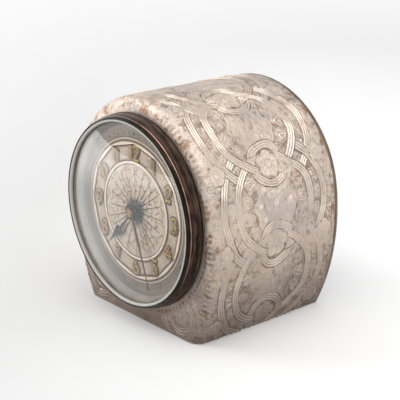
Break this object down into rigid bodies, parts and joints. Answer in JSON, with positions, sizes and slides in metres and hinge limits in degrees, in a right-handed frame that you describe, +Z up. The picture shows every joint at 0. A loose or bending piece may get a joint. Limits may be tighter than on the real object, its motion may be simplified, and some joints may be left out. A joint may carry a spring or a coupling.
{
  "type": "electric mantel clock",
  "caption": "Arched table clock with an embossed silvered case, dark round bezel, domed glass, two hands and a synchronous movement set by a rear knob.",
  "frame": {"origin": "centre of the base, on the surface that the clock stands on", "axes": "+Z up; -Y towards the viewer of the dial; +X to the viewer's right"},
  "size_m": [0.113, 0.1077, 0.114],
  "materials": {
    "case_silver": "embossed sheet, silver plated and browned in its recesses",
    "rim_silver": "plain rolled rim, worn silver plate",
    "bezel_bronze": "dark bronzed brass, rubbed to copper on its crest",
    "watch_glass": "clear, domed",
    "dial_cream": "cream silvered dial with raised rings",
    "rehaut_grey": "satin grey",
    "blued_steel": "blue-black steel",
    "turned_brass": "turned brass",
    "plate_brass": "lacquered sheet brass",
    "screw_steel": "slotted steel",
    "cover_steel": "brown-black japanned sheet",
    "base_felt_cloth": "dense wool felt",
    "inlet_rubber": "moulded black rubber",
    "lamination_steel": "stacked iron stampings",
    "bobbin_fibre": "vulcanised fibre",
    "coil_copper": "enamelled copper wire under varnish",
    "arbor_steel": "ground and polished",
    "knob_bakelite": "dark brown moulded phenolic"
  },
  "bodies": {
    "movement_and_case": {"case_shell": "case_silver", "rear_rim": "rim_silver", "rear_cover": "cover_steel", "rear_cover_screws": "screw_steel", "base_plate": "cover_steel", "base_felt": "base_felt_cloth", "base_screws": "screw_steel", "cord_grommet": "inlet_rubber", "bezel_ring": "bezel_bronze", "bezel_glass": "watch_glass", "rehaut_ring": "rehaut_grey", "dial_plate": "dial_cream", "movement_spacers": "turned_brass", "movement_screws": "screw_steel", "front_plate": "plate_brass", "rear_plate": "plate_brass", "plate_pillars": "turned_brass", "pillar_screws": "screw_steel", "plate_bushes": "turned_brass", "minute_wheel_stud": "arbor_steel", "stator_core": "lamination_steel", "coil_core": "lamination_steel", "coil_bobbin": "bobbin_fibre", "coil_winding": "coil_copper", "coil_terminals": "turned_brass", "shading_rings": "coil_copper", "rotor_can": "turned_brass", "motor_posts": "turned_brass", "motor_screws": "screw_steel"},
    "hands": {"minute_hand": "blued_steel", "hand_nut": "turned_brass", "centre_arbor": "arbor_steel", "clutch_spring": "arbor_steel", "clutch_collar": "turned_brass"},
    "hour_motion": {"hour_hand": "blued_steel", "hour_wheel": "plate_brass"},
    "minute_motion": {"minute_wheel": "plate_brass"},
    "setting": {"set_arbor": "arbor_steel", "set_knob": "knob_bakelite"},
    "centre_drive": {"centre_wheel": "plate_brass"},
    "intermediate": {"intermediate_wheel": "plate_brass"},
    "rotor_output": {"rotor_pinion": "arbor_steel"}
  },
  "joints": [
    {"name": "minute_hand_turn", "type": "hinge", "parent": "movement_and_case", "child": "hands", "pos_m": [0, -0.034, 0.058], "axis": [0, 1, 0], "continuous": true},
    {"name": "hour_hand_turn", "type": "hinge", "parent": "movement_and_case", "child": "hour_motion", "pos_m": [0, -0.04, 0.058], "axis": [0, 1, 0], "continuous": true},
    {"name": "minute_wheel_turn", "type": "hinge", "parent": "movement_and_case", "child": "minute_motion", "pos_m": [-0.01039, -0.038, 0.052], "axis": [0, 1, 0], "continuous": true},
    {"name": "setting_knob_turn", "type": "hinge", "parent": "movement_and_case", "child": "setting", "pos_m": [-0.01248, -0.002, 0.04018], "axis": [0, 1, 0], "continuous": true},
    {"name": "centre_wheel_turn", "type": "hinge", "parent": "movement_and_case", "child": "centre_drive", "pos_m": [0, -0.032, 0.058], "axis": [0, 1, 0], "continuous": true},
    {"name": "intermediate_turn", "type": "hinge", "parent": "movement_and_case", "child": "intermediate", "pos_m": [0.00387, -0.029, 0.07245], "axis": [0, 1, 0], "continuous": true},
    {"name": "rotor_pinion_turn", "type": "hinge", "parent": "movement_and_case", "child": "rotor_output", "pos_m": [0.01071, -0.026, 0.0606], "axis": [0, 1, 0], "continuous": true}
  ],
  "couplings": [
    {"joint": "minute_wheel_turn", "follows": "minute_hand_turn", "ratio": -0.33333},
    {"joint": "hour_hand_turn", "follows": "minute_hand_turn", "ratio": 0.083333},
    {"joint": "setting_knob_turn", "follows": "minute_hand_turn", "ratio": 1},
    {"joint": "intermediate_turn", "follows": "centre_wheel_turn", "ratio": -7.5},
    {"joint": "rotor_pinion_turn", "follows": "centre_wheel_turn", "ratio": 60}
  ]
}
